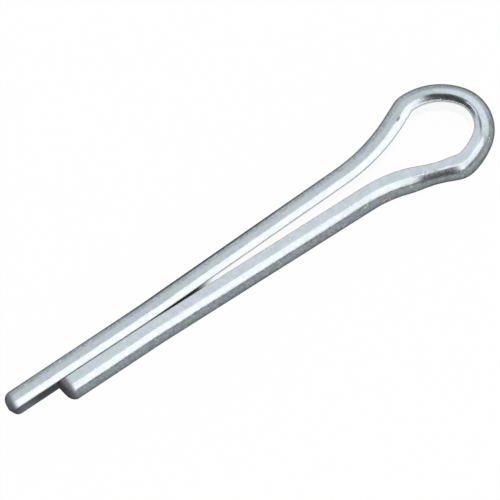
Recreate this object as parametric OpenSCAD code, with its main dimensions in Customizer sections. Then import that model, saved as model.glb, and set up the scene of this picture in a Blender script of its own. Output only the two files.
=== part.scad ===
// Split pin bent from one length of half-round wire: two legs that lie flat face to flat face,
// and a pear-shaped eye that joins them. Millimetres. X runs from the leg tips to the eye, the eye
// lies level in X and Y, Z is up, and the pin lies on z = 0 with its box centred on x = 0 and y = 0.

/* [Wire] */
// Diameter of the closed shank, across both half-round legs
shank_d = 4.5; // [3.2:0.1:6]
// Gap that stays between the two flat faces where the legs lie closed
parting_gap = 0.1; // [0.04:0.02:0.3]
// Rounding of the two long edges where the flat face meets the round one
edge_r = 0.15; // [0.05:0.01:0.3]

/* [Legs] */
// Nominal length, from the tip of the short leg to the corner where the long leg turns into the eye
shank_l = 40; // [30:0.5:80]
// How far the long leg reaches past the short one
long_leg_extra = 5.6; // [1:0.1:10]
// Parallel closed stretch behind the tip of the short leg
closed_l = 10.2; // [4:0.1:16]
// Angle by which each leg leans away from the middle towards the eye
spread_angle = 1.329; // [1:0.001:1.8]
// Radius of the slight bend that starts this lean
spread_bend_r = 100; // [40:10:300]

/* [Leg tips] */
// Radius of the rounding round the outer rim of a cut end
tip_rim_r = 0.94; // [0.6:0.02:1.2]
// How far this rounding reaches back from the cut end
tip_rim_depth = 0.58; // [0.2:0.02:0.6]
// Rounding between a cut end and the flat face
tip_flat_r = 0.6; // [0.2:0.05:0.8]
// Slant of the cut on the short leg, where the outer side is the shorter one
short_tip_slant = 9; // [0:0.5:15]

/* [Eye] */
// Clear width of the eye between its flat faces
eye_w = 6.3; // [5.4:0.1:9]
// Angle that the long leg turns through at its neck, up towards the shoulder of the eye
long_neck_angle = 23.23; // [21:0.01:30]
// Radius of the flat face in this neck bend
long_neck_r = 21; // [8:0.5:22]
// Angle that the short leg turns through at its neck, out towards the bottom corner of the eye
short_neck_angle = 16.81; // [14:0.01:22]
// Radius of the flat face in this neck bend
short_neck_r = 15.3; // [8:0.1:18]
// Inside radius of the shoulder, where the rise meets the crown
shoulder_r = 0.5; // [0.3:0.05:1.5]
// Inside radius of the crown, the long side of the eye
crown_r = 5.1; // [4:0.1:6.5]
// Angle that the crown turns through
crown_angle = 54.02; // [46:0.01:60]
// Angle that the nose turns through at the far end of the eye
nose_angle = 92.35; // [86:0.05:98]
// Inside radius of the side that comes back from the nose
back_side_r = 6.05; // [4.5:0.05:8]
// Angle that this side turns through
back_side_angle = 21.14; // [16:0.01:26]
// Inside radius of the bottom corner, where the returning side meets the fall
bottom_corner_r = 0.93; // [0.3:0.01:2]

/* [Hidden] */
$fn = 60;

shank_r = shank_d / 2;
// The half round is drawn about the shank's axis, and its flat face stands this far off that axis
flat_off = parting_gap / 2;
// Length by which a cutting shape runs past the wire
clear = 1;
// Angle by which a bend is swept too far before its end is cut square
over_sweep = 5;
// A rounding arc stands this far proud of the two faces it joins, so that it crosses them cleanly
crossing = 0.004;

// Path of the half round's own axis, with x = 0 at the long leg's neck corner. A bend's axis lies
// flat_off inside the flat face on the eye and flat_off outside it on the leg and neck bends.
spread_path_r = spread_bend_r + flat_off;
long_neck_path_r = long_neck_r + flat_off;
short_neck_path_r = short_neck_r + flat_off;
shoulder_path_r = shoulder_r - flat_off;
crown_path_r = crown_r - flat_off;
back_side_path_r = back_side_r - flat_off;
bottom_corner_path_r = bottom_corner_r - flat_off;

// Slopes of the two straights between the necks and the eye
rise_angle = spread_angle + long_neck_angle;
fall_angle = spread_angle + short_neck_angle;

// Headings are measured clockwise from +X as the path goes round the eye
nose_start = crown_angle;
nose_end = nose_start + nose_angle;
back_side_end = nose_end + back_side_angle;
bottom_corner_angle = 180 + fall_angle - back_side_end;

// Half the width between the two sides of the path
eye_half_w = eye_w / 2 - flat_off;
// The nose radius closes the eye at its stated width
nose_path_r = (2 * eye_half_w
    - crown_path_r * (1 - cos(nose_start))
    - back_side_path_r * (cos(nose_end) - cos(back_side_end))
    - bottom_corner_path_r * (cos(back_side_end) + 1)) / (cos(nose_start) - cos(nose_end));

short_tip_x = -shank_l;
long_tip_x = short_tip_x - long_leg_extra;
spread_x = short_tip_x + closed_l;
lean_x = spread_x + spread_path_r * sin(spread_angle);
lean_y = spread_path_r * (1 - cos(spread_angle));
// Distance of a leg's path from the middle plane at x, past the bend that starts its lean
function leg_y(x) = lean_y + (x - lean_x) * tan(spread_angle);

// Long leg: neck corner, rise and crown
shoulder_y = eye_half_w - shoulder_path_r * (1 - cos(rise_angle));
rise_l = (shoulder_y - leg_y(0)) / sin(rise_angle);
crown_x = rise_l * cos(rise_angle) + shoulder_path_r * sin(rise_angle);
long_neck_run = long_neck_path_r * tan(long_neck_angle / 2);
long_lean_l = -lean_x / cos(spread_angle) - long_neck_run;

// Far end of the eye
nose_x = crown_x + crown_path_r * sin(nose_start) + nose_path_r * (1 - sin(nose_start));
eye_end_x = nose_x + shank_r;

// Short leg: end of the bottom corner, fall and neck corner
fall_x = crown_x
    + crown_path_r * sin(nose_start)
    + nose_path_r * (sin(nose_end) - sin(nose_start))
    + back_side_path_r * (sin(back_side_end) - sin(nose_end))
    - bottom_corner_path_r * (sin(fall_angle) + sin(back_side_end));
fall_y = -eye_half_w + bottom_corner_path_r * (1 - cos(fall_angle));
fall_l = (-fall_y - leg_y(fall_x)) / (sin(fall_angle) - cos(fall_angle) * tan(spread_angle));
short_neck_x = fall_x - fall_l * cos(fall_angle);
short_neck_run = short_neck_path_r * tan(short_neck_angle / 2);
short_lean_l = (short_neck_x - lean_x) / cos(spread_angle) - short_neck_run;

// The pin is laid down with its box centred on the origin
mid_x = (long_tip_x + eye_end_x) / 2;

// Unit vector at an angle in the plane
function heading(a) = [cos(a), sin(a)];

// What a rounding of radius r about centre takes off a corner, between two directions to its sides
module corner_waste(centre, r, first, last) {
    reach = 3 * r;
    difference() {
        polygon([
            centre,
            centre + reach * heading(first),
            centre + 2 * reach * heading((first + last) / 2),
            centre + reach * heading(last),
        ]);
        translate(centre) circle(r);
    }
}

// Section of the wire: x points away from the flat face, y is up
module wire_section() {
    corner_x = flat_off + edge_r - crossing;
    corner_y = sqrt(pow(shank_r - edge_r + crossing, 2) - pow(corner_x, 2));
    difference() {
        circle(shank_r);
        translate([flat_off - shank_d, -shank_d]) square([shank_d, 2 * shank_d]);
        for (side = [0, 1])
            mirror([0, side])
                corner_waste([corner_x, corner_y], edge_r, atan2(corner_y, corner_x), 180);
    }
}

// The next three modules each draw one stretch from the origin along +X, with the flat face on the
// right, and then draw their children where that stretch ends.
module straight(length) {
    rotate([90, 0, 90]) linear_extrude(length) wire_section();
    translate([length, 0, 0]) children();
}

// Bend round the side that the round face is on. It is swept too far and then cut square in the
// frame of the stretch that follows, so that the two meet on one plane.
module bend_left(path_r, angle) {
    difference() {
        translate([0, path_r, 0])
            rotate([0, 0, -90])
                rotate_extrude(angle = angle + over_sweep)
                    translate([path_r, 0]) mirror([1, 0]) wire_section();
        bend_end(path_r, angle) beyond(path_r + shank_d);
    }
    bend_end(path_r, angle) children();
}

// Bend round the side that the flat face is on
module bend_right(path_r, angle) {
    difference() {
        mirror([0, 1, 0])
            translate([0, path_r, 0])
                rotate([0, 0, -90])
                    rotate_extrude(angle = angle + over_sweep)
                        translate([path_r, 0]) wire_section();
        bend_end(-path_r, -angle) beyond(path_r + shank_d);
    }
    bend_end(-path_r, -angle) children();
}

// Moves its children to the end of a bend whose centre is at y = centre_y
module bend_end(centre_y, angle) {
    translate([0, centre_y, 0]) rotate([0, 0, angle]) translate([0, -centre_y, 0]) children();
}

// Everything within reach on the far side of x = 0
module beyond(reach) {
    translate([0, -reach, -shank_d]) cube([reach, 2 * reach, 2 * shank_d]);
}

// Closed end of a leg, cut across at its tip and rounded there
module leg_end(length, slant) {
    corner_y = flat_off + tip_flat_r - crossing;
    corner_x = length - (tip_flat_r - crossing) / cos(slant) - corner_y * tan(slant);
    difference() {
        intersection() {
            straight(length);
            translate([length, 0, 0])
                rotate([0, 0, slant])
                    rotate([0, -90, 0])
                        rounded_blank(length + clear);
        }
        translate([0, 0, -shank_d])
            linear_extrude(2 * shank_d)
                corner_waste([corner_x, corner_y], tip_flat_r, slant, -90);
    }
}

// Bar along +Z, wider than the wire, whose end at z = 0 has a rim that rounds off the wire's round face
module rounded_blank(length) {
    face_r = shank_r - sqrt(pow(tip_rim_r, 2) - pow(tip_rim_r - tip_rim_depth, 2));
    rotate_extrude()
        difference() {
            square([shank_d, length]);
            corner_waste([face_r, tip_rim_r - crossing], tip_rim_r, -90, 0);
        }
}

module split_pin() {
    color([0.72, 0.75, 0.77])
        translate([-mid_x, 0, shank_r]) {
            translate([spread_x, 0, 0]) {
                mirror([1, 0, 0]) leg_end(spread_x - long_tip_x, 0);
                bend_left(spread_path_r, spread_angle)
                    straight(long_lean_l)
                    bend_left(long_neck_path_r, long_neck_angle)
                    straight(rise_l - long_neck_run)
                    bend_right(shoulder_path_r, rise_angle)
                    bend_right(crown_path_r, crown_angle)
                    bend_right(nose_path_r, nose_angle)
                    bend_right(back_side_path_r, back_side_angle)
                    bend_right(bottom_corner_path_r, bottom_corner_angle)
                    straight(fall_l - short_neck_run)
                    bend_left(short_neck_path_r, short_neck_angle)
                    straight(short_lean_l)
                    bend_left(spread_path_r, spread_angle)
                    leg_end(closed_l, short_tip_slant);
            }
        }
}

split_pin();
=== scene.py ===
"""Cotter pin in bright zinc plate, bent from one length of half-round wire.

The wire is swept along its own path with Geometry Nodes, dressed with its plated finish and laid
on a pale floor under soft lamps. Lengths in the classes are in millimetres, meshes in metres.
"""

import logging
import math
from dataclasses import dataclass, field
from enum import Enum

import bpy
from mathutils import Matrix, Vector


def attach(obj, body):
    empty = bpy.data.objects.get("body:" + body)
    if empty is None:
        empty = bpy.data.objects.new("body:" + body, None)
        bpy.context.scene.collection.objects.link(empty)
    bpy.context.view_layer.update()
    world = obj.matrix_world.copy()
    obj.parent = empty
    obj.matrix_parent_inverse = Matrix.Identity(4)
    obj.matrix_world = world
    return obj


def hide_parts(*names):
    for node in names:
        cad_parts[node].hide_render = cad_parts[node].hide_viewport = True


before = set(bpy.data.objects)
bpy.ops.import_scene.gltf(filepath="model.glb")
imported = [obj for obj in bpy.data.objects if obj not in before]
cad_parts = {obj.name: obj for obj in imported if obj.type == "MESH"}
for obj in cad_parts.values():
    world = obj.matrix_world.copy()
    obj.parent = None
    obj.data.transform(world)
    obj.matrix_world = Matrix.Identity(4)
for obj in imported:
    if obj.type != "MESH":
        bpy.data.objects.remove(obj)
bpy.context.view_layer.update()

MM = 0.001
TINY = 1e-9
WARM = (1.0, 0.955, 0.945)
LOG = logging.getLogger("cotter_pin")

Number = "Value | float"


class Turn(Enum):
    """Side that a bend of the wire turns to; the flat face is always on the right."""

    LEFT = 1
    RIGHT = -1


class Tree:
    """A shader or geometry tree that is filled by one method."""

    def __init__(self, tree: bpy.types.NodeTree) -> None:
        """Wraps the node tree to fill."""
        self.tree = tree

    def add(
        self, kind: str, settings: dict | None = None, inputs: dict | None = None
    ) -> bpy.types.Node:
        """Adds a node, sets it up and feeds its sockets.

        Args:
            kind: The node's type name.
            settings: Properties of the node, set before its sockets.
            inputs: Values, sockets or Value objects by socket name, identifier or number.

        Returns:
            The new node.
        """
        node = self.tree.nodes.new(kind)
        for name, value in (settings or {}).items():
            setattr(node, name, value)
        for key, value in (inputs or {}).items():
            socket = self.socket(node.inputs, key)
            if isinstance(value, Value):
                value = value.socket
            if isinstance(value, bpy.types.NodeSocket):
                self.tree.links.new(value, socket)
            else:
                socket.default_value = value
        return node

    def value(
        self,
        kind: str,
        settings: dict | None = None,
        inputs: dict | None = None,
        out: str | int = 0,
    ) -> "Value":
        """Adds a node and wraps the output with the given name, identifier or number."""
        return Value(self, self.socket(self.add(kind, settings, inputs).outputs, out))

    @staticmethod
    def socket(sockets: bpy.types.bpy_prop_collection, key: str | int) -> bpy.types.NodeSocket:
        """Finds a socket.

        Args:
            sockets: Inputs or outputs of a node.
            key: Number, identifier or name.

        Returns:
            The socket.
        """
        if isinstance(key, int):
            return sockets[key]
        for socket in sockets:
            if socket.identifier == key:
                return socket
        return sockets[key]


class Value:
    """A number in a tree that takes part in Python arithmetic."""

    def __init__(self, tree: Tree, socket: bpy.types.NodeSocket) -> None:
        """Wraps an output socket of a tree."""
        self.tree = tree
        self.socket = socket

    def math(self, operation: str, *others: Number) -> "Value":
        """Adds one Math node, with this number as its first operand."""
        operands = dict(enumerate((self, *others)))
        return self.tree.value("ShaderNodeMath", {"operation": operation}, operands)

    def __add__(self, other: Number) -> "Value":
        """Sum."""
        return self.math("ADD", other)

    def __radd__(self, other: float) -> "Value":
        """Sum with a plain number first."""
        return self.math("ADD", other)

    def __sub__(self, other: Number) -> "Value":
        """Difference."""
        return self.math("SUBTRACT", other)

    def __rsub__(self, other: float) -> "Value":
        """Difference from a plain number."""
        return self.math("MULTIPLY_ADD", -1.0, other)

    def __mul__(self, other: Number) -> "Value":
        """Product."""
        return self.math("MULTIPLY", other)

    def __rmul__(self, other: float) -> "Value":
        """Product with a plain number first."""
        return self.math("MULTIPLY", other)

    def __truediv__(self, other: Number) -> "Value":
        """Quotient."""
        return self.math("DIVIDE", other)

    def least(self, other: Number) -> "Value":
        """The smaller of two."""
        return self.math("MINIMUM", other)

    def most(self, other: Number) -> "Value":
        """The larger of two."""
        return self.math("MAXIMUM", other)

    def root(self) -> "Value":
        """Square root."""
        return self.math("SQRT")

    def rise(self, start: float, end: float) -> "Value":
        """Smooth step.

        Args:
            start: Where the result is 0.
            end: Where the result is 1; it may lie below start.

        Returns:
            A number from 0 to 1.
        """
        inputs = {"Value": self, "From Min": start, "From Max": end}
        if end < start:
            inputs = {"Value": self, "From Min": end, "From Max": start}
            inputs.update({"To Min": 1.0, "To Max": 0.0})
        return self.tree.value("ShaderNodeMapRange", {"interpolation_type": "SMOOTHSTEP"}, inputs)

    def band(self, start: float, end: float, soft: float) -> "Value":
        """Plateau from 0 to 1 between the middles of its two sides, each as wide as soft."""
        half = soft / 2
        return self.rise(start - half, start + half) * self.rise(end + half, end - half)


@dataclass(frozen=True)
class Stretch:
    """One straight or bend of the wire's path."""

    length: float = 0.0
    radius: float = 0.0
    angle: float = 0.0
    turn: Turn = Turn.LEFT

    def steps(self, step: float, step_angle: float) -> int:
        """Number of equal steps that the stretch is walked in.

        Args:
            step: Longest step on a straight.
            step_angle: Largest step in a bend, in degrees.

        Returns:
            The number of steps.
        """
        if self.radius:
            return max(1, math.ceil(self.angle / step_angle), math.ceil(self.run() / step))
        return max(1, math.ceil(self.length / step))

    def run(self) -> float:
        """Length of the path through the stretch."""
        return math.radians(self.angle) * self.radius if self.radius else self.length


@dataclass
class WireSizes:
    """Driving sizes of the pin and the path that follows from them."""

    shank_d: float = 4.5
    parting_gap: float = 0.03
    edge_r: float = 0.05
    shank_l: float = 40.0
    long_leg_extra: float = 5.6
    long_tip_trim: float = 0.26
    closed_l: float = 10.2
    spread_angle: float = 1.329
    spread_bend_r: float = 100.0
    tip_rim_r: float = 0.94
    tip_rim_depth: float = 0.85
    tip_flat_r: float = 0.6
    short_tip_slant: float = 9.0
    slant_reach: float = 2.0
    eye_w: float = 6.3
    long_neck_angle: float = 23.23
    long_neck_r: float = 21.0
    short_neck_angle: float = 16.81
    short_neck_r: float = 15.3
    shoulder_r: float = 0.5
    crown_r: float = 5.1
    crown_angle: float = 54.02
    nose_angle: float = 92.35
    back_side_r: float = 6.05
    back_side_angle: float = 21.14
    bottom_corner_r: float = 0.93
    pinch_depth: float = 0.2
    pinch_reach: float = 2.8
    pinch_from_corner: float = 2.5

    def __post_init__(self) -> None:
        """Works the path out from the driving sizes, with x = 0 at the long leg's neck corner."""
        self.shank_r = self.shank_d / 2
        self.flat_off = self.parting_gap / 2
        spread_r = self.spread_bend_r + self.flat_off
        long_neck_r = self.long_neck_r + self.flat_off
        short_neck_r = self.short_neck_r + self.flat_off
        shoulder_r = self.shoulder_r - self.flat_off
        crown_r = self.crown_r - self.flat_off
        back_side_r = self.back_side_r - self.flat_off
        corner_r = self.bottom_corner_r - self.flat_off

        spread = math.radians(self.spread_angle)
        rise = spread + math.radians(self.long_neck_angle)
        fall = spread + math.radians(self.short_neck_angle)
        nose_start = math.radians(self.crown_angle)
        nose_end = nose_start + math.radians(self.nose_angle)
        back_end = nose_end + math.radians(self.back_side_angle)
        corner_angle = 180 + math.degrees(fall - back_end)

        eye_half_w = self.eye_w / 2 - self.flat_off
        nose_r = (
            2 * eye_half_w
            - crown_r * (1 - math.cos(nose_start))
            - back_side_r * (math.cos(nose_end) - math.cos(back_end))
            - corner_r * (math.cos(back_end) + 1)
        ) / (math.cos(nose_start) - math.cos(nose_end))

        short_tip_x = -self.shank_l
        long_reach_x = short_tip_x - self.long_leg_extra
        self.long_tip_x = long_reach_x + self.long_tip_trim
        spread_x = short_tip_x + self.closed_l
        lean_x = spread_x + spread_r * math.sin(spread)
        lean_y = spread_r * (1 - math.cos(spread))

        def leg_y(x: float) -> float:
            """Distance of a leg's path from the middle plane past the bend that starts its lean."""
            return lean_y + (x - lean_x) * math.tan(spread)

        shoulder_y = eye_half_w - shoulder_r * (1 - math.cos(rise))
        rise_l = (shoulder_y - leg_y(0)) / math.sin(rise)
        crown_x = rise_l * math.cos(rise) + shoulder_r * math.sin(rise)
        long_neck_run = long_neck_r * math.tan(math.radians(self.long_neck_angle) / 2)
        long_lean_l = -lean_x / math.cos(spread) - long_neck_run

        nose_x = crown_x + crown_r * math.sin(nose_start) + nose_r * (1 - math.sin(nose_start))
        eye_end_x = nose_x + self.shank_r
        fall_x = (
            crown_x
            + crown_r * math.sin(nose_start)
            + nose_r * (math.sin(nose_end) - math.sin(nose_start))
            + back_side_r * (math.sin(back_end) - math.sin(nose_end))
            - corner_r * (math.sin(fall) + math.sin(back_end))
        )
        fall_y = -eye_half_w + corner_r * (1 - math.cos(fall))
        fall_l = (-fall_y - leg_y(fall_x)) / (math.sin(fall) - math.cos(fall) * math.tan(spread))
        short_neck_x = fall_x - fall_l * math.cos(fall)
        short_neck_run = short_neck_r * math.tan(math.radians(self.short_neck_angle) / 2)
        short_lean_l = (short_neck_x - lean_x) / math.cos(spread) - short_neck_run

        self.mid_x = (long_reach_x + eye_end_x) / 2
        self.stretches = {
            "long closed": Stretch(length=spread_x - self.long_tip_x),
            "long spread": Stretch(radius=spread_r, angle=self.spread_angle, turn=Turn.LEFT),
            "long lean": Stretch(length=long_lean_l),
            "long neck": Stretch(radius=long_neck_r, angle=self.long_neck_angle, turn=Turn.LEFT),
            "rise": Stretch(length=rise_l - long_neck_run),
            "shoulder": Stretch(radius=shoulder_r, angle=math.degrees(rise), turn=Turn.RIGHT),
            "crown": Stretch(radius=crown_r, angle=self.crown_angle, turn=Turn.RIGHT),
            "nose": Stretch(radius=nose_r, angle=self.nose_angle, turn=Turn.RIGHT),
            "back side": Stretch(radius=back_side_r, angle=self.back_side_angle, turn=Turn.RIGHT),
            "bottom corner": Stretch(radius=corner_r, angle=corner_angle, turn=Turn.RIGHT),
            "fall": Stretch(length=fall_l - short_neck_run),
            "short neck": Stretch(radius=short_neck_r, angle=self.short_neck_angle, turn=Turn.LEFT),
            "short lean": Stretch(length=short_lean_l),
            "short spread": Stretch(radius=spread_r, angle=self.spread_angle, turn=Turn.LEFT),
            "short closed": Stretch(length=self.closed_l),
        }

    def pinch_along(self) -> float:
        """Place of the bending tool's pinch along the wire."""
        return self.along("fall") + self.pinch_from_corner

    def along(self, name: str, share: float = 0.0) -> float:
        """Length of the wire from the long leg's tip to a place on it.

        Args:
            name: Name of a stretch.
            share: Share of that stretch that has been passed.

        Returns:
            The length.
        """
        total = 0.0
        for key, stretch in self.stretches.items():
            if key == name:
                return total + share * stretch.run()
            total += stretch.run()
        raise KeyError(name)


@dataclass
class WirePath:
    """Walk along the wire from the long leg's tip to the short leg's."""

    sizes: WireSizes
    step: float = 0.7
    step_angle: float = 2.0
    tip_steps: int = 12
    tip_reach: float = 1.3

    def points(self) -> list[Vector]:
        """Points of the path.

        Returns:
            Points in millimetres, level at the height of the shank's axis.
        """
        at = Vector((self.sizes.long_tip_x - self.sizes.mid_x, 0.0, self.sizes.shank_r))
        heading = 0.0
        points = [at.copy()]
        names = list(self.sizes.stretches)
        for name in names:
            stretch = self.sizes.stretches[name]
            if name == names[0]:
                shares = self.tip_shares(stretch.length)
            elif name == names[-1]:
                shares = [1 - share for share in reversed(self.tip_shares(stretch.length))]
            else:
                count = stretch.steps(self.step, self.step_angle)
                shares = [k / count for k in range(count + 1)]
            for share in shares[1:]:
                points.append(at + self.offset(stretch, heading, share))
            at = points[-1].copy()
            heading += stretch.turn.value * math.radians(stretch.angle)
        return points

    def tip_shares(self, length: float) -> list[float]:
        """Shares of a leg's end, close together where its tip is rounded.

        Args:
            length: Length of the stretch behind the tip.

        Returns:
            Shares from 0 at the tip to 1.
        """
        quarter = math.pi / 2
        angles = [quarter * k / self.tip_steps for k in range(self.tip_steps + 1)]
        near = [self.tip_reach * (1 - math.cos(angle)) for angle in angles]
        rest = length - self.tip_reach
        count = math.ceil(rest / self.step)
        far = [self.tip_reach + rest * k / count for k in range(1, count + 1)]
        return [distance / length for distance in near + far]

    @staticmethod
    def offset(stretch: Stretch, heading: float, share: float) -> Vector:
        """Way from a stretch's start to a share of it.

        Args:
            stretch: The stretch.
            heading: Heading at its start, in radians, counted anticlockwise from +X.
            share: Share of the stretch.

        Returns:
            The way, level.
        """
        ahead = Vector((math.cos(heading), math.sin(heading), 0.0))
        left = Vector((-ahead.y, ahead.x, 0.0))
        if not stretch.radius:
            return ahead * (stretch.length * share)
        angle = math.radians(stretch.angle) * share
        side = stretch.turn.value * stretch.radius * (1 - math.cos(angle))
        return ahead * (stretch.radius * math.sin(angle)) + left * side


@dataclass
class WireSection:
    """Half-round section of the wire, flat on one side, with its two edges rounded."""

    sizes: WireSizes
    round_steps: int = 56
    edge_steps: int = 6
    flat_steps: int = 10
    flat_margin: float = 0.03

    def points(self) -> list[Vector]:
        """Outline of the section.

        Returns:
            Points in millimetres: -x away from the flat face, as the sweep wants it, and y up.
        """
        sizes = self.sizes
        edge_r = sizes.edge_r
        corner_x = sizes.flat_off + edge_r
        corner_y = math.sqrt((sizes.shank_r - edge_r) ** 2 - corner_x**2)
        edge = math.atan2(corner_y, corner_x)
        upper = []
        for k in range(1, self.edge_steps + 1):
            angle = edge + (math.pi - edge) * k / self.edge_steps
            upper.append((corner_x + edge_r * math.cos(angle), corner_y + edge_r * math.sin(angle)))
        round_face = []
        for k in range(self.round_steps + 1):
            angle = edge * (2 * k / self.round_steps - 1)
            round_face.append((sizes.shank_r * math.cos(angle), sizes.shank_r * math.sin(angle)))
        top = corner_y - self.flat_margin
        heights = (top * (1 - 2 * k / self.flat_steps) for k in range(self.flat_steps + 1))
        flat = [(sizes.flat_off, height) for height in heights]
        lower = [(x, -y) for x, y in reversed(upper)]
        return [Vector((-x, y, 0.0)) for x, y in reversed(round_face + upper + flat + lower)]


class Carrier:
    """Short-lived curve objects that hand points to a tree."""

    @staticmethod
    def curve(name: str, points: list[Vector], cyclic: bool) -> bpy.types.Object:
        """Makes a poly curve.

        Args:
            name: Name of the object.
            points: Points in millimetres.
            cyclic: Whether the curve is closed.

        Returns:
            The object, in metres.
        """
        data = bpy.data.curves.new(name, "CURVE")
        data.dimensions = "3D"
        spline = data.splines.new("POLY")
        spline.points.add(len(points) - 1)
        for point, at in zip(spline.points, points):
            point.co = (*(at * MM), 1.0)
        spline.use_cyclic_u = cyclic
        made = bpy.data.objects.new(name, data)
        bpy.context.scene.collection.objects.link(made)
        return made


@dataclass
class WireTree:
    """Geometry tree that sweeps the section along the path and shapes both tips."""

    name: str = "half_round_wire"
    sockets: dict = field(default_factory=dict)

    def build(self) -> bpy.types.NodeTree:
        """Builds the tree.

        Returns:
            The tree, with its inputs' identifiers kept in sockets.
        """
        group = bpy.data.node_groups.new(self.name, "GeometryNodeTree")
        self.declare(group.interface)
        tree = Tree(group)
        entry = tree.add("NodeGroupInput")
        given = {title: Value(tree, entry.outputs[title]) for title in self.sockets}
        swept = self.sweep(tree, entry.outputs["Path"], given)
        shift = self.shift(tree, given)
        shaped = tree.add("GeometryNodeSetPosition", None, {"Geometry": swept, "Offset": shift})
        smooth = tree.add("GeometryNodeSetShadeSmooth", None, {"Geometry": shaped.outputs[0]})
        real = tree.add("GeometryNodeRealizeInstances", None, {"Geometry": smooth.outputs[0]})
        finish = {"Geometry": real.outputs[0], "Material": given["Finish"]}
        dressed = tree.add("GeometryNodeSetMaterial", None, finish)
        tree.add("NodeGroupOutput", None, {0: dressed.outputs[0]})
        return group

    def declare(self, face: bpy.types.NodeTreeInterface) -> None:
        """Names the tree's inputs and output.

        Args:
            face: The tree's interface.
        """
        face.new_socket("Wire", in_out="OUTPUT", socket_type="NodeSocketGeometry")
        face.new_socket("Path", in_out="INPUT", socket_type="NodeSocketGeometry")
        kinds = {"Section": "NodeSocketObject", "Finish": "NodeSocketMaterial"}
        lengths = (
            "Wire radius",
            "Flat offset",
            "Rim radius",
            "Rim depth",
            "Flat edge radius",
            "Slant",
            "Slant reach",
            "Pinch place",
            "Pinch reach",
            "Pinch depth",
        )
        kinds.update({title: "NodeSocketFloat" for title in lengths})
        for title, kind in kinds.items():
            made = face.new_socket(title, in_out="INPUT", socket_type=kind)
            self.sockets[title] = made.identifier

    def sweep(self, tree: Tree, path: bpy.types.NodeSocket, given: dict) -> bpy.types.NodeSocket:
        """Sweeps the section, narrowed towards both tips, and stores where each point is.

        Args:
            tree: The tree.
            path: The path that the section follows.
            given: The tree's inputs by name.

        Returns:
            The closed wire.
        """
        along = tree.value("GeometryNodeSplineParameter", out="Length")
        total = tree.value("GeometryNodeSplineLength", out="Length")
        from_tip = along.least(total - along).most(0.0)
        at_short = along.math("GREATER_THAN", total * 0.5)
        notes = {"along": along, "from_tip": from_tip, "at_short": at_short}
        for title, value in notes.items():
            path = self.note(tree, path, title, value)
        path = self.note(tree, path, "run", tree.value("GeometryNodeInputTangent"), "FLOAT_VECTOR")
        normals = tree.add("GeometryNodeSetCurveNormal", {"mode": "Z_UP"}, {"Curve": path})

        whole = {"transform_space": "ORIGINAL"}
        section = tree.add("GeometryNodeObjectInfo", whole, {"Object": given["Section"]})
        spot = tree.add("ShaderNodeSeparateXYZ", None, {0: tree.value("GeometryNodeInputPosition")})
        outline = section.outputs["Geometry"]
        for title, axis in {"out": "X", "up": "Y"}.items():
            outline = self.note(tree, outline, title, Value(tree, spot.outputs[axis]) * -1.0)
        inputs = {
            "Curve": normals.outputs[0],
            "Profile Curve": outline,
            "Scale": self.narrowed(given, from_tip),
            "Fill Caps": True,
        }
        return tree.add("GeometryNodeCurveToMesh", None, inputs).outputs[0]

    def shift(self, tree: Tree, given: dict) -> Value:
        """Way that each point moves: the tips' rounded flats and slant, and the pinch.

        Args:
            tree: The tree.
            given: The tree's inputs by name.

        Returns:
            The way, as a vector.
        """
        wire_r = given["Wire radius"]
        tip = self.read(tree, "from_tip")
        share = self.narrowed(given, tip)
        out = self.read(tree, "out") * share
        round_r = wire_r * share

        edge = given["Flat edge radius"]
        short_of = (edge - tip).most(0.0)
        least_out = given["Flat offset"] + edge - (edge * edge - short_of * short_of).root()
        lift = (least_out - out).most(0.0)

        off_pinch = (self.read(tree, "along") - given["Pinch place"]) / given["Pinch reach"]
        pinch = (1.0 - off_pinch * off_pinch).most(0.0)
        squeeze = pinch * pinch * given["Pinch depth"] * (1.0 - out / wire_r * 2.0)

        slant = (1.0 - tip / given["Slant reach"]).most(0.0) * given["Slant"]
        back = (out + lift) * (slant * self.read(tree, "at_short")) * -1.0
        chord = (round_r * round_r - least_out * least_out).most(0.0)
        slim = (chord / (round_r * round_r - out * out).most(TINY)).root().least(1.0)
        down = self.read(tree, "up") * share * (slim - 1.0)

        vector = {"data_type": "FLOAT_VECTOR"}
        ahead = tree.value("GeometryNodeInputNamedAttribute", vector, {"Name": "run"})
        cross, scale, add = ({"operation": name} for name in ("CROSS_PRODUCT", "SCALE", "ADD"))
        away = tree.value("ShaderNodeVectorMath", cross, {0: ahead, 1: (0.0, 0.0, -1.0)})
        away = tree.value("ShaderNodeVectorMath", scale, {0: away, "Scale": lift + squeeze})
        ahead = tree.value("ShaderNodeVectorMath", scale, {0: ahead, "Scale": back})
        level = tree.value("ShaderNodeVectorMath", add, {0: away, 1: ahead})
        fall = tree.value("ShaderNodeCombineXYZ", None, {"Z": down})
        return tree.value("ShaderNodeVectorMath", add, {0: level, 1: fall})

    @staticmethod
    def narrowed(given: dict, from_end: Value) -> Value:
        """Share of the full section that is left at a distance from a tip.

        Args:
            given: The tree's inputs by name.
            from_end: The distance.

        Returns:
            The share.
        """
        rim, depth, wire_r = given["Rim radius"], given["Rim depth"], given["Wire radius"]
        face_r = wire_r - (rim * rim - (rim - depth) * (rim - depth)).root()
        left = rim - from_end.least(depth)
        return ((face_r + (rim * rim - left * left).root()) / wire_r).least(1.0)

    @staticmethod
    def note(
        tree: Tree, geometry: bpy.types.NodeSocket, title: str, value: Value, kind: str = "FLOAT"
    ) -> bpy.types.NodeSocket:
        """Stores a named attribute on the points.

        Args:
            tree: The tree.
            geometry: The geometry that carries the points.
            title: Name of the attribute.
            value: What is stored.
            kind: Data type of the attribute.

        Returns:
            The geometry with the attribute.
        """
        settings = {"data_type": kind, "domain": "POINT"}
        inputs = {"Geometry": geometry, "Name": title, "Value": value}
        return tree.add("GeometryNodeStoreNamedAttribute", settings, inputs).outputs[0]

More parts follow.
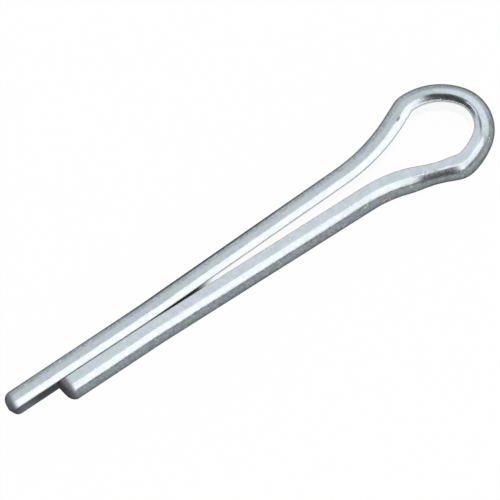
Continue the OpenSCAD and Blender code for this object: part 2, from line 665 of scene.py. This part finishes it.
    @staticmethod
    def read(tree: Tree, title: str) -> Value:
        """Reads a named number back."""
        number = {"data_type": "FLOAT"}
        return tree.value("GeometryNodeInputNamedAttribute", number, {"Name": title})


@dataclass(frozen=True)
class ZincPlate:
    """Bright zinc on drawn steel: grey with cool tints, fine mottling, draw lines and white specks.

    Scales are per millimetre and places in millimetres. A pair of places is where a soft edge
    starts and where it is full, and three are a band's two sides and their softness. A pair of
    levels is a base and what is added to it.
    """

    sizes: WireSizes

    # Colours
    cool: tuple = (0.415, 0.46, 0.515, 1.0)
    green: tuple = (0.405, 0.467, 0.468, 1.0)
    purple: tuple = (0.46, 0.448, 0.515, 1.0)
    edge_tint: tuple = (0.24, 0.25, 0.26, 1.0)
    # Dark colour for the nick, and for painted shade on the flat face and the sheared tips
    grime_and_shade: tuple = (0.12, 0.115, 0.13, 1.0)
    # Painted dark reflection over the bending tool's pinch
    painted_dark_reflection: tuple = (0.1, 0.094, 0.108, 1.0)
    # Painted bright reflection: a lit copy of the plate for the parted flat faces
    painted_bright_wall: tuple = (0.84, 0.85, 0.86, 1.0)
    # Painted dark reflection along the edges of the flat face
    painted_edge_shade: tuple = (0.2, 0.205, 0.21, 1.0)
    speck: tuple = (0.85, 0.87, 0.88, 1.0)

    # Noises: scale, octaves and share of each finer octave
    cloud: tuple = (0.45, 3.0, 0.55)
    patch: tuple = (1.5, 2.0, 0.55)
    fine: tuple = (5.0, 1.0, 0.5)
    lines: tuple = (2.2, 2.0, 0.5)
    speckle: tuple = (3.2, 2.0, 0.6)
    lines_along: float = 0.12
    lines_across: float = 3.0
    dot_scale: float = 1.5
    grain_scale: float = 1.7

    # Tints and shade of the round face
    cool_share: tuple = (0.35, 0.65)
    purple_share: tuple = (0.5, 0.75)
    purple_strength: float = 0.6
    low_side_out: tuple = (1.3, 1.7)
    low_side_up: tuple = (1.9, 1.4)
    shade_base: float = 0.86
    shade_patch: float = 0.28
    shade_speckle: float = 0.25
    shade_low_speckle: float = 1.0

    # White specks, and the painted dark reflection along the edge of the flat
    dot_size: tuple = (0.10, 0.06)
    dot_cloud: tuple = (0.45, 0.6)
    grain_size: tuple = (0.27, 0.12)
    grain_patch: tuple = (0.48, 0.57)
    speck_strength: float = 0.7
    ridge_out: tuple = (0.12, 0.06)
    ridge_up: tuple = (0.0, 1.0)
    ridge_base: float = 0.3
    ridge_patch: float = 0.5

    # Flat face: painted shade where the legs meet and on the long tip, painted bright reflection
    # where they are parted
    flat_soft: tuple = (0.05, 0.01)
    underside_out: tuple = (0.35, 0.25)
    underside_up: tuple = (-2.0, -2.1)
    parted_x: tuple = (-7.0, -3.9)
    wall_top: tuple = (1.6, 1.9)
    flat_shade_patch: tuple = (0.3, 0.6)
    flat_shade_patch_levels: tuple = (0.55, 0.45)
    flat_shade_reach: tuple = (0.6, 3.5)
    flat_shade_reach_levels: tuple = (0.4, 0.6)
    flat_shade_strength: float = 0.7

    # Sheared tips: darker as bare cut steel and by painted shade, with more painted shade on the
    # short tip beside the long leg
    short_tip_shade: tuple = (60.0, 61.0)
    short_tip_shade_out: tuple = (2.3, 0.9)
    short_tip_shade_extra: float = 0.3
    sheared_reach: tuple = (1.3, 0.65)
    rim_reach: tuple = (0.7, 0.3)
    sheared_base: float = 0.5
    sheared_patch: float = 0.3
    sheared_rim: float = 0.2
    sheared_short_tip_shade: float = 0.25

    # Painted dark reflection over the bending tool's pinch, and the nick
    streak_share: tuple = (0.58, 0.42)
    dark_reflection_along: tuple = (-2.2, 1.7, 1.2)
    dark_reflection_out: tuple = (1.13, 1.83, 0.3)
    dark_reflection_levels: tuple = (0.72, 0.28)
    soft_dark_reflection_along: tuple = (-0.6, 2.1, 1.4)
    soft_dark_reflection_out: tuple = (0.85, 1.6, 0.5)
    soft_dark_reflection_strength: float = 0.5
    nick_past_rise: float = 0.1
    nick_out: float = 0.79
    nick_slim: float = 7.0
    nick_size: tuple = (0.42, 0.2)
    nick_up: tuple = (0.0, 0.5)
    nick_strength: float = 0.85

    # Relief and gloss
    relief_fine: float = 0.25
    relief_lines: float = 0.8
    relief_patch: float = 0.9
    relief_depth: float = 0.006
    rough_base: float = 0.105
    rough_patch: float = 0.09
    rough_fine: float = 0.03
    rough_flat_shade: float = 0.12
    rough_sheared: float = 0.35
    rough_dust: float = 0.2
    rough_dark_reflection: float = 0.3
    rough_wall: float = 0.06
    rough_wall_patch: float = 0.06

    def material(self) -> bpy.types.Material:
        """Builds the material.

        Returns:
            The material.
        """
        made = bpy.data.materials.new("zinc_plate")
        made.use_nodes = True
        made.node_tree.nodes.clear()
        tree = Tree(made.node_tree)
        place = tree.value("ShaderNodeTexCoord", out="Object")
        scaled = {0: place, "Scale": 1 / MM}
        place = tree.value("ShaderNodeVectorMath", {"operation": "SCALE"}, scaled)
        x = Value(tree, tree.add("ShaderNodeSeparateXYZ", None, {0: place}).outputs["X"])
        titles = ("along", "from_tip", "out", "up")
        along, from_tip, out, up = (self.stored(tree, title) for title in titles)

        run = along * self.lines_along
        around = {"Y": out * self.lines_across, "Z": up * self.lines_across}
        drawn = tree.value("ShaderNodeCombineXYZ", None, {"X": run, **around})
        cloud = self.noise(tree, place, *self.cloud)
        patch = self.noise(tree, place, *self.patch)
        fine = self.noise(tree, place, *self.fine)
        lines = self.noise(tree, drawn, *self.lines)
        speckle = self.noise(tree, place, *self.speckle)

        tone = self.mix(tree, cloud.rise(*self.cool_share), self.green, self.cool)
        purple = patch.rise(*self.purple_share) * self.purple_strength
        tone = self.mix(tree, purple, tone, self.purple)
        low_side = out.rise(*self.low_side_out) * up.rise(*self.low_side_up)
        grit = (speckle - 0.5) * (self.shade_speckle + self.shade_low_speckle * low_side)
        shade = self.shade_base + self.shade_patch * patch + grit
        tone = self.mix(tree, 1.0, tone, shade, "MULTIPLY")

        dots = self.cells(tree, place, self.dot_scale).rise(*self.dot_size)
        grains = self.cells(tree, place, self.grain_scale).rise(*self.grain_size)
        dust = dots * cloud.rise(*self.dot_cloud)
        dust = dust.most(grains * patch.rise(*self.grain_patch) * low_side)
        tone = self.mix(tree, dust * self.speck_strength, tone, self.speck)
        # Painted dark reflection along the ridge where the round face meets the flat
        ridge_shade = out.rise(*self.ridge_out) * up.rise(*self.ridge_up)
        ridge_shade = ridge_shade * (self.ridge_base + self.ridge_patch * patch)
        tone = self.mix(tree, ridge_shade, tone, self.painted_edge_shade)

        flat = out.rise(*(self.sizes.flat_off + soft for soft in self.flat_soft))
        flat = flat.most(out.rise(*self.underside_out) * up.rise(*self.underside_up))
        # Painted shade on the flat face, where the legs meet and on the long tip, lighter towards
        # the tips
        base, more = self.flat_shade_patch_levels
        painted_flat_shade = flat * (base + more * patch.rise(*self.flat_shade_patch))
        base, more = self.flat_shade_reach_levels
        painted_flat_shade = painted_flat_shade * (base + more * from_tip.rise(*self.flat_shade_reach))
        tone = self.mix(tree, painted_flat_shade * self.flat_shade_strength, tone, self.grime_and_shade)

        # Sheared tips darkened, partly as bare cut steel and partly as painted shade; the short tip
        # gets more painted shade towards the long leg
        short_tip_shade = along.rise(*self.short_tip_shade) * out.rise(*self.short_tip_shade_out)
        sheared = (from_tip - short_tip_shade * self.short_tip_shade_extra).rise(*self.sheared_reach)
        rim = from_tip.rise(*self.rim_reach)
        cut_steel_and_shade = self.sheared_base + self.sheared_patch * patch + self.sheared_rim * rim
        cut_steel_and_shade = sheared * (cut_steel_and_shade + self.sheared_short_tip_shade * short_tip_shade)
        tone = self.mix(tree, cut_steel_and_shade.least(1.0), tone, self.grime_and_shade)

        streak = (0.5 * lines + 0.5 * fine).rise(*self.streak_share)
        # Painted dark reflection over the pinch, in place of the highlight
        dark_reflection = self.pinch_dark_reflection(along, out, streak)
        tone = self.mix(tree, dark_reflection, tone, self.painted_dark_reflection)
        tone = self.mix(tree, self.nick(along, out, up), tone, self.grime_and_shade)

        height = self.relief_fine * fine + self.relief_lines * lines + self.relief_patch * patch
        relief = {"Strength": 1.0, "Distance": self.relief_depth * MM, "Height": height}
        rough = self.rough_base + self.rough_patch * patch + self.rough_fine * fine
        rough = rough + self.rough_flat_shade * painted_flat_shade + self.rough_sheared * sheared
        rough = rough + self.rough_dust * dust + self.rough_dark_reflection * dark_reflection
        round_face = {
            "Base Color": tone,
            "Metallic": 1.0,
            "Roughness": rough,
            "Specular Tint": self.edge_tint,
            "Normal": tree.value("ShaderNodeBump", None, relief, "Normal"),
        }
        # Parted flat faces: a lit copy of the plate painted bright as a reflection of the white
        # floor, with a painted dark reflection at the wall's top
        painted_lit_wall = {
            "Base Color": self.mix(tree, up.rise(*self.wall_top), self.painted_bright_wall, self.painted_edge_shade),
            "Metallic": 1.0,
            "Roughness": self.rough_wall + self.rough_wall_patch * patch,
            "Coat Weight": 1.0,
        }
        first = tree.add("ShaderNodeBsdfPrincipled", None, round_face)
        second = tree.add("ShaderNodeBsdfPrincipled", None, painted_lit_wall)
        both = {0: flat * x.rise(*self.parted_x), 1: first.outputs[0], 2: second.outputs[0]}
        shader = tree.add("ShaderNodeMixShader", None, both)
        tree.add("ShaderNodeOutputMaterial", None, {"Surface": shader.outputs[0]})
        return made

    def pinch_dark_reflection(self, along: Value, out: Value, streak: Value) -> Value:
        """Painted dark reflection laid over the place where the bending tool pinched the wire.

        Args:
            along: Place along the wire.
            out: Distance from the flat face.
            streak: Broken streaks, from 0 to 1.

        Returns:
            Share of the painted dark reflection.
        """
        off = along - self.sizes.pinch_along()
        base, more = self.dark_reflection_levels
        dark_reflection = off.band(*self.dark_reflection_along) * out.band(*self.dark_reflection_out) * (base + more * streak)
        soft_dark_reflection = off.band(*self.soft_dark_reflection_along) * out.band(*self.soft_dark_reflection_out) * streak
        return dark_reflection.most(soft_dark_reflection * self.soft_dark_reflection_strength)

    def nick(self, along: Value, out: Value, up: Value) -> Value:
        """Small nick where the long neck's bend ends.

        Args:
            along: Place along the wire.
            out: Distance from the flat face.
            up: Height over the wire's middle.

        Returns:
            Share of the nick.
        """
        past = along - (self.sizes.along("rise") + self.nick_past_rise)
        beside = out - self.nick_out
        from_nick = (past * past + beside * beside * self.nick_slim).root()
        return from_nick.rise(*self.nick_size) * up.rise(*self.nick_up) * self.nick_strength

    @staticmethod
    def stored(tree: Tree, title: str) -> Value:
        """A length that the sweep stored, in millimetres."""
        return tree.value("ShaderNodeAttribute", {"attribute_name": title}, out="Fac") * (1 / MM)

    @staticmethod
    def cells(tree: Tree, place: Value, scale: float) -> Value:
        """Distance to the nearest of many scattered points, in spacings."""
        inputs = {"Vector": place, "Scale": scale, "Randomness": 1.0}
        return tree.value("ShaderNodeTexVoronoi", {"feature": "F1"}, inputs, "Distance")

    @staticmethod
    def noise(tree: Tree, place: Value, scale: float, detail: float, roughness: float) -> Value:
        """Noise round 0.5, from its scale per millimetre, octaves and each finer octave's share."""
        inputs = {"Vector": place, "Scale": scale, "Detail": detail, "Roughness": roughness}
        return tree.value("ShaderNodeTexNoise", None, inputs, "Fac")

    @staticmethod
    def mix(tree: Tree, share: Number, first: object, second: object, blend: str = "MIX") -> Value:
        """Mixes two colours.

        Args:
            tree: The tree.
            share: Share of the second colour.
            first: The first colour.
            second: The second colour.
            blend: Blend mode.

        Returns:
            The mixed colour.
        """
        settings = {"data_type": "RGBA", "blend_type": blend}
        inputs = {"Factor_Float": share, "A_Color": first, "B_Color": second}
        return tree.value("ShaderNodeMix", settings, inputs, "Result_Color")


@dataclass
class SplitPin:
    """The pin: one length of half-round wire."""

    sizes: WireSizes = field(default_factory=WireSizes)
    name: str = "cotter_pin_wire"
    body: str = "root"
    node: str = "split_pin"

    def build(self) -> bpy.types.Object:
        """Sweeps the wire, dresses it and hands it to the frame.

        Returns:
            The finished piece.
        """
        sizes = self.sizes
        path = Carrier.curve("wire_path", WirePath(sizes).points(), False)
        section = Carrier.curve("wire_section", WireSection(sizes).points(), True)
        tree = WireTree()
        group = tree.build()
        given = {
            "Section": section,
            "Finish": ZincPlate(sizes).material(),
            "Wire radius": sizes.shank_r * MM,
            "Flat offset": sizes.flat_off * MM,
            "Rim radius": sizes.tip_rim_r * MM,
            "Rim depth": sizes.tip_rim_depth * MM,
            "Flat edge radius": sizes.tip_flat_r * MM,
            "Slant": math.tan(math.radians(sizes.short_tip_slant)),
            "Slant reach": sizes.slant_reach * MM,
            "Pinch place": sizes.pinch_along() * MM,
            "Pinch reach": sizes.pinch_reach * MM,
            "Pinch depth": sizes.pinch_depth * MM,
        }
        sweep = path.modifiers.new("sweep", "NODES")
        sweep.node_group = group
        for title, value in given.items():
            sweep[tree.sockets[title]] = value
        graph = bpy.context.evaluated_depsgraph_get()
        graph.update()
        mesh = bpy.data.meshes.new_from_object(path.evaluated_get(graph), depsgraph=graph)
        mesh.name = self.name
        for spent in (path, section):
            bpy.data.objects.remove(spent)
        piece = bpy.data.objects.new(self.name, mesh)
        bpy.context.scene.collection.objects.link(piece)
        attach(piece, self.body)
        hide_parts(self.node)
        return piece


@dataclass
class Floor:
    """Plain pale floor that keeps the pin's shadow.

    The pin mirrors it at a level of its own for each region, which paints shade into the reflection
    only: darker on the short leg's side, round the nose and at the tips' ends, with a painted
    contact shadow beside the long leg. A region's edges are in millimetres: a pair is where an edge
    starts and where it is full, three numbers are a band's two sides and their softness.
    """

    reach: float = 3.0
    colour: tuple = (0.68, 0.68, 0.68, 1.0)
    white_share: float = 0.975
    mirrored_back: float = 1.0
    # Levels below 1 are painted shade, seen only in the pin's reflection
    mirrored_front: float = 0.63
    mirrored_end: float = 0.5
    mirrored_tip: float = 0.95
    mirrored_nose: float = 0.75
    mirrored_contact_shadow: float = 0.34
    front_y: tuple = (-2.0, -5.0)
    nose_x: tuple = (27.0, 31.0)
    past_nose_x: tuple = (38.0, 33.5)
    short_end_x: tuple = (-22.0, -23.3)
    short_end_y: tuple = (2.5, 1.0)
    long_end_x: tuple = (-28.9, -29.5)
    long_end_y: tuple = (4.0, 2.5)
    tip_x: tuple = (-29.15, -26.2, 2.0)
    beside_x: tuple = (-14.0, 8.0, 12.0)
    beside_y: tuple = (1.8, 2.4)
    past_beside_y: tuple = (9.0, 5.0)

    def build(self) -> bpy.types.Object:
        """Lays the floor.

        Returns:
            The floor.
        """
        mesh = bpy.data.meshes.new("floor")
        r = self.reach
        mesh.from_pydata([(-r, -r, 0), (r, -r, 0), (r, r, 0), (-r, r, 0)], [], [(0, 1, 2, 3)])
        floor = bpy.data.objects.new("floor", mesh)
        bpy.context.scene.collection.objects.link(floor)
        mesh.materials.append(self.material())
        return floor

    def material(self) -> bpy.types.Material:
        """Builds the floor's material: nearly white to the camera, matt where lamps light it.

        Returns:
            The material.
        """
        made = bpy.data.materials.new("pale_floor")
        made.use_nodes = True
        made.node_tree.nodes.clear()
        tree = Tree(made.node_tree)
        ray = tree.add("ShaderNodeLightPath")
        kinds = ("Camera", "Glossy", "Transmission")
        shown, glossy, clear = (Value(tree, ray.outputs[f"Is {kind} Ray"]) for kind in kinds)
        place = tree.value("ShaderNodeTexCoord", out="Object")
        spot = tree.add("ShaderNodeSeparateXYZ", None, {0: place})
        x, y = (Value(tree, spot.outputs[axis]) * (1 / MM) for axis in "XY")
        level = 1.0 - glossy * (1.0 - self.mirrored(x, y))
        share = (shown.most(clear) * self.white_share).most(glossy)
        matt = tree.add("ShaderNodeBsdfDiffuse", None, {"Color": self.colour})
        white = tree.add("ShaderNodeEmission", None, {"Color": level, "Strength": 1.0})
        layers = {0: share, 1: matt.outputs[0], 2: white.outputs[0]}
        both = tree.add("ShaderNodeMixShader", None, layers)
        tree.add("ShaderNodeOutputMaterial", None, {"Surface": both.outputs[0]})
        return made

    def mirrored(self, x: Value, y: Value) -> Value:
        """Level at which the pin mirrors the floor, with painted shade and a painted contact
        shadow.

        Args:
            x: Place along the pin, with its eye towards +X.
            y: Place across it, with the long leg towards +Y.

        Returns:
            The level.
        """
        # Painted shade in the floor's reflection: darker in front, round the nose and at the ends,
        # darkest as a painted contact shadow beside the long leg
        front = y.rise(*self.front_y)
        nose = x.rise(*self.nose_x) * x.rise(*self.past_nose_x)
        end = x.rise(*self.short_end_x) * y.rise(*self.short_end_y)
        end = end.most(x.rise(*self.long_end_x) * y.rise(*self.long_end_y))
        tip = x.band(*self.tip_x)
        beside = x.band(*self.beside_x) * y.rise(*self.beside_y) * y.rise(*self.past_beside_y)
        level = self.mirrored_back + (self.mirrored_front - self.mirrored_back) * front
        level = level + (self.mirrored_nose - level) * nose
        end_level = self.mirrored_end + (self.mirrored_tip - self.mirrored_end) * tip
        level = level + (end_level - level) * end
        return level + (self.mirrored_contact_shadow - level) * beside


@dataclass(frozen=True)
class Room:
    """Dim ceiling over pale walls, brighter behind the pin than in front of it.

    Places are parts of the unit vector of the way looked in; a pair of them is where a soft edge
    starts and where it is full.
    """

    ceiling: float = 0.08
    back_wall: float = 1.2
    front_wall: float = 0.36
    side_wall: float = 0.28
    end_wall: float = 0.28
    nose_glow: float = 0.35
    wall_top: float = 0.62
    wall_soft: float = 0.03
    wall_slope: float = 0.13
    wall_dip: float = 0.15
    back_slope: float = 0.8
    dip_x: tuple = (0.3, 0.36)
    past_dip_x: tuple = (0.75, 0.55)
    dip_y: tuple = (0.0, 0.15)
    front_x: tuple = (-0.25, -0.1)
    back_x: tuple = (-0.65, -0.25)
    back_y: tuple = (-0.3, 0.3)
    glow_x: tuple = (0.4, 0.7)
    end_x: tuple = (-0.4, -0.5)

    def build(self) -> bpy.types.World:
        """Sets the world.

        Returns:
            The world.
        """
        world = bpy.data.worlds.new("room")
        world.use_nodes = True
        world.node_tree.nodes.clear()
        tree = Tree(world.node_tree)
        place = tree.value("ShaderNodeTexCoord", out="Generated")
        way = tree.add("ShaderNodeSeparateXYZ", None, {0: place})
        level = self.level(*(Value(tree, way.outputs[axis]) for axis in "XYZ"))
        ray = tree.add("ShaderNodeLightPath")
        kinds = ("Camera", "Transmission")
        shown, clear = (Value(tree, ray.outputs[f"Is {kind} Ray"]) for kind in kinds)
        level = level + (1.0 - level) * shown.most(clear)
        white = {"Color": (1.0, 1.0, 1.0, 1.0), "Strength": level}
        light = tree.add("ShaderNodeBackground", None, white)
        tree.add("ShaderNodeOutputWorld", None, {"Surface": light.outputs[0]})
        bpy.context.scene.world = world
        return world

    def level(self, x: Value, y: Value, z: Value) -> Value:
        """Radiance of the room, which the pin mirrors.

        Args:
            x: Part of the way looked in along the pin, with its eye towards +X.
            y: Part across the pin, with the long leg towards +Y.
            z: Part upwards.

        Returns:
            The radiance.
        """
        dip = x.rise(*self.dip_x) * x.rise(*self.past_dip_x) * y.rise(*self.dip_y) * self.wall_dip
        edge = (self.wall_top + self.wall_soft, self.wall_top - self.wall_soft)
        low = (z + dip - x * self.wall_slope).rise(*edge)
        front = self.side_wall + (self.front_wall - self.side_wall) * x.rise(*self.front_x)
        back = self.side_wall + (self.back_wall - self.side_wall) * x.rise(*self.back_x)
        wall = front + (back - front) * (y + x * self.back_slope).rise(*self.back_y)
        wall = wall + self.nose_glow * x.rise(*self.glow_x)
        level = self.ceiling * (1.0 - low) + wall * low
        return level + (self.end_wall - level) * x.rise(*self.end_x)


@dataclass(frozen=True)
class SoftLamp:
    """Long soft lamp over the pin, turned to it; its lean and width are angles in degrees."""

    name: str
    lean: float
    wide: float
    start_x: float
    end_x: float
    radiance: float
    distance: float = 450.0
    colour: tuple = (1.0, 1.0, 1.0)

    def build(self) -> bpy.types.Object:
        """Hangs the lamp.

        Returns:
            The lamp.
        """
        lamp = bpy.data.lights.new(self.name, "AREA")
        lamp.shape = "RECTANGLE"
        lamp.size = (self.end_x - self.start_x) * MM
        lamp.size_y = 2 * self.distance * math.tan(math.radians(self.wide / 2)) * MM
        lamp.energy = self.radiance * math.pi * lamp.size * lamp.size_y
        lamp.color = self.colour
        lean = math.radians(self.lean)
        middle_x = (self.start_x + self.end_x) / 2
        at = Vector((middle_x, self.distance * math.sin(lean), self.distance * math.cos(lean)))
        made = bpy.data.objects.new(self.name, lamp)
        made.location = at * MM
        made.rotation_euler = (-lean, 0.0, 0.0)
        made.visible_camera = False
        bpy.context.scene.collection.objects.link(made)
        return made


@dataclass
class Studio:
    """Floor, room and soft lamps."""

    lamps: tuple = (
        SoftLamp("upper_lamp", 20.0, 24.0, -220.0, 118.0, 2.15, colour=WARM),
        SoftLamp("back_lamp", 41.0, 18.4, -220.0, 148.0, 2.15, colour=WARM),
        SoftLamp("lower_lamp", -63.0, 37.0, -95.0, 50.0, 1.9, colour=WARM),
        SoftLamp("far_lamp", -59.5, 30.0, 50.0, 430.0, 1.5, colour=WARM),
        SoftLamp("top_lamp", -20.5, 53.0, -300.0, 340.0, 1.28),
        SoftLamp("strip_lamp", 12.5, 24.0, 345.0, 395.0, 3.0),
    )

    def build(self) -> None:
        """Sets the stage round the pin."""
        Room().build()
        Floor().build()
        for lamp in self.lamps:
            lamp.build()


@dataclass(frozen=True)
class Camera:
    """Camera nearly straight above the pin, which it shows slanting up to the right."""

    image_side: float = 500.0
    scale: float = 9.8225
    distance: float = 231.4
    lean_x: float = -3.01
    lean_y: float = -8.47
    roll: float = 33.74
    centre_u: float = 10.64
    centre_v: float = -1.49
    aim_x: float = 1.33
    aim_z: float = 2.25
    sensor: float = 36.0
    clip: tuple = (0.01, 10.0)

    def build(self) -> bpy.types.Object:
        """Places the camera.

        Returns:
            The camera.
        """
        angles = (self.lean_x, self.lean_y, self.roll)
        lean_x, lean_y, roll = (math.radians(angle) for angle in angles)
        toward = Vector((math.tan(lean_x), math.tan(lean_y), 1.0)).normalized()
        level = Vector((0.0, 0.0, 1.0)).rotation_difference(toward)
        side_x = level @ Vector((1.0, 0.0, 0.0))
        side_y = level @ Vector((0.0, 1.0, 0.0))
        cos, sin = math.cos(roll), math.sin(roll)
        right = side_x * cos - side_y * sin
        above = side_x * sin + side_y * cos
        off_x = -(self.centre_u * cos + self.centre_v * sin) / self.scale
        off_y = (self.centre_u * sin - self.centre_v * cos) / self.scale
        aim = Vector((self.aim_x, 0.0, self.aim_z))
        at = aim + side_x * off_x + side_y * off_y + toward * self.distance
        data = bpy.data.cameras.new("camera")
        data.sensor_width = self.sensor
        data.lens = self.scale * self.distance / self.image_side * self.sensor
        data.clip_start, data.clip_end = self.clip
        camera = bpy.data.objects.new("camera", data)
        turn = Matrix((right, above, toward)).transposed().to_4x4()
        camera.matrix_world = Matrix.Translation(at * MM) @ turn
        bpy.context.scene.collection.objects.link(camera)
        bpy.context.scene.camera = camera
        return camera


def main() -> None:
    """Builds the pin, the studio and the camera."""
    logging.basicConfig(level=logging.INFO, format="%(name)s: %(message)s")
    view = bpy.context.scene.view_settings
    view.view_transform = "Standard"
    piece = SplitPin().build()
    LOG.info("%s: %d faces", piece.name, len(piece.data.polygons))
    Studio().build()
    Camera().build()


if __name__ == "__main__":
    main()
